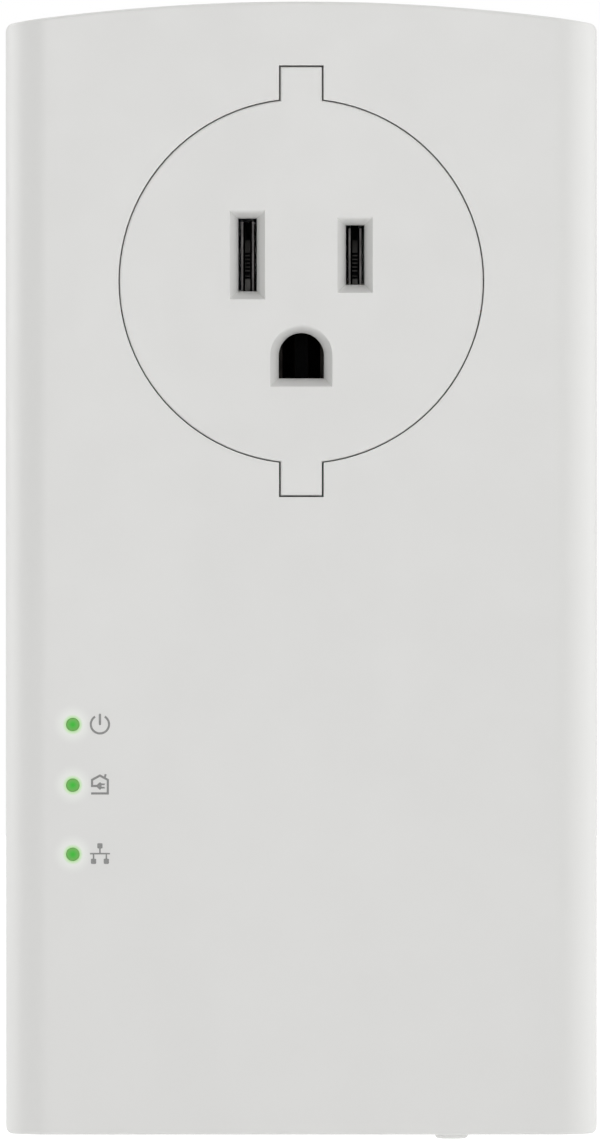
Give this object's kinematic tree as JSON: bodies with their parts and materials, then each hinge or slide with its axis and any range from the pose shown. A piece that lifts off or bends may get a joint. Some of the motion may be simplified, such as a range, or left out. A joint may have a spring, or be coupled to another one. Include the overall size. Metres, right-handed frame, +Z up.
{
  "type": "powerline adapter",
  "caption": "Upright white wall-plug network adapter with a grounded pass-through outlet in front, a grounded plug behind, and a network port and sync button underneath.",
  "frame": {"origin": "on the plug base's flat back face, midway between the two blades", "axes": "+Y points into the wall along the blades, +Z is up along the housing's long side, +X is right seen from the front"},
  "size_m": [0.07, 0.063, 0.1349],
  "materials": {
    "shell_plastic": "satin moulded, warm white",
    "rear_plastic": "fine moulded texture, warm white",
    "outlet_plastic": "satin moulded, warm white",
    "plated_blade": "nickel plated brass",
    "contact_brass": "stamped",
    "gold_contact": "gold flashed",
    "board_laminate": "green solder mask",
    "insulating_film": "fish paper",
    "black_plastic": "moulded",
    "chip_resin": "moulded resin",
    "yellow_plastic": "moulded",
    "capacitor_sleeve": "shrink sleeve",
    "ferrite": "sintered",
    "copper_winding": "enamelled copper wire",
    "varistor_coat": "dipped",
    "thermal_pad": "soft",
    "heatsink_metal": "extruded",
    "tinned_steel": "tinned sheet",
    "screw_steel": "zinc plated",
    "led_resin": "clear resin",
    "light_pipe": "clear moulded, lit green",
    "white_wire": "insulated",
    "black_wire": "insulated"
  },
  "bodies": {
    "root": {"board_header": "black_plastic", "bridge_rectifier": "black_plastic", "bulk_capacitor_lower": "capacitor_sleeve", "bulk_capacitor_upper": "capacitor_sleeve", "choke_core": "ferrite", "choke_winding_left": "copper_winding", "choke_winding_right": "copper_winding", "coupling_transformer": "black_plastic", "front_shell": "shell_plastic", "fuse": "black_plastic", "ground_contact": "contact_brass", "ground_pin": "plated_blade", "heatsink": "heatsink_metal", "hot_blade": "plated_blade", "hot_contact": "contact_brass", "inductor_core_left": "ferrite", "inductor_core_right": "ferrite", "inductor_winding_left": "copper_winding", "inductor_winding_right": "copper_winding", "insulating_sheet": "insulating_film", "lan_transformer": "black_plastic", "led_network": "led_resin", "led_power": "led_resin", "led_powerline": "led_resin", "light_pipe": "light_pipe", "line_wire": "black_wire", "logic_board": "board_laminate", "logic_board_screw_1": "screw_steel", "logic_board_screw_2": "screw_steel", "memory_chip": "chip_resin", "neutral_blade": "plated_blade", "neutral_contact": "contact_brass", "neutral_wire": "white_wire", "outlet_back_cover": "outlet_plastic", "outlet_insert": "outlet_plastic", "outlet_screw_1": "screw_steel", "outlet_screw_2": "screw_steel", "plug_base": "rear_plastic", "port_contacts": "gold_contact", "port_housing": "black_plastic", "port_shield": "tinned_steel", "power_board": "board_laminate", "power_board_screw_1": "screw_steel", "power_board_screw_2": "screw_steel", "powerline_chip": "chip_resin", "rear_shell": "rear_plastic", "reset_switch_body": "tinned_steel", "shell_screw_1": "screw_steel", "shell_screw_2": "screw_steel", "shell_screw_3": "screw_steel", "shell_screw_4": "screw_steel", "sync_switch_body": "tinned_steel", "thermal_pad": "thermal_pad", "transformer_bobbin": "yellow_plastic", "transformer_core": "ferrite", "varistor": "varistor_coat", "x_capacitor": "yellow_plastic"},
    "sync_button": {"sync_button": "shell_plastic"},
    "sync_plunger": {"sync_switch_plunger": "black_plastic"},
    "reset_plunger": {"reset_switch_plunger": "black_plastic"}
  },
  "joints": [
    {"name": "sync_press", "type": "slide", "parent": "root", "child": "sync_button", "axis": [0, 0, 1], "range_m": [0, 0.0004], "stiffness_N_per_m": 4000, "springref_m": -0.0001},
    {"name": "sync_plunger_press", "type": "slide", "parent": "root", "child": "sync_plunger", "axis": [0, 0, 1], "range_m": [0, 0.0004]},
    {"name": "reset_press", "type": "slide", "parent": "root", "child": "reset_plunger", "axis": [0, 0, 1], "range_m": [0, 0.00025], "stiffness_N_per_m": 6000, "springref_m": -0.0001}
  ],
  "couplings": [
    {"joint": "sync_plunger_press", "follows": "sync_press", "ratio": 1}
  ]
}
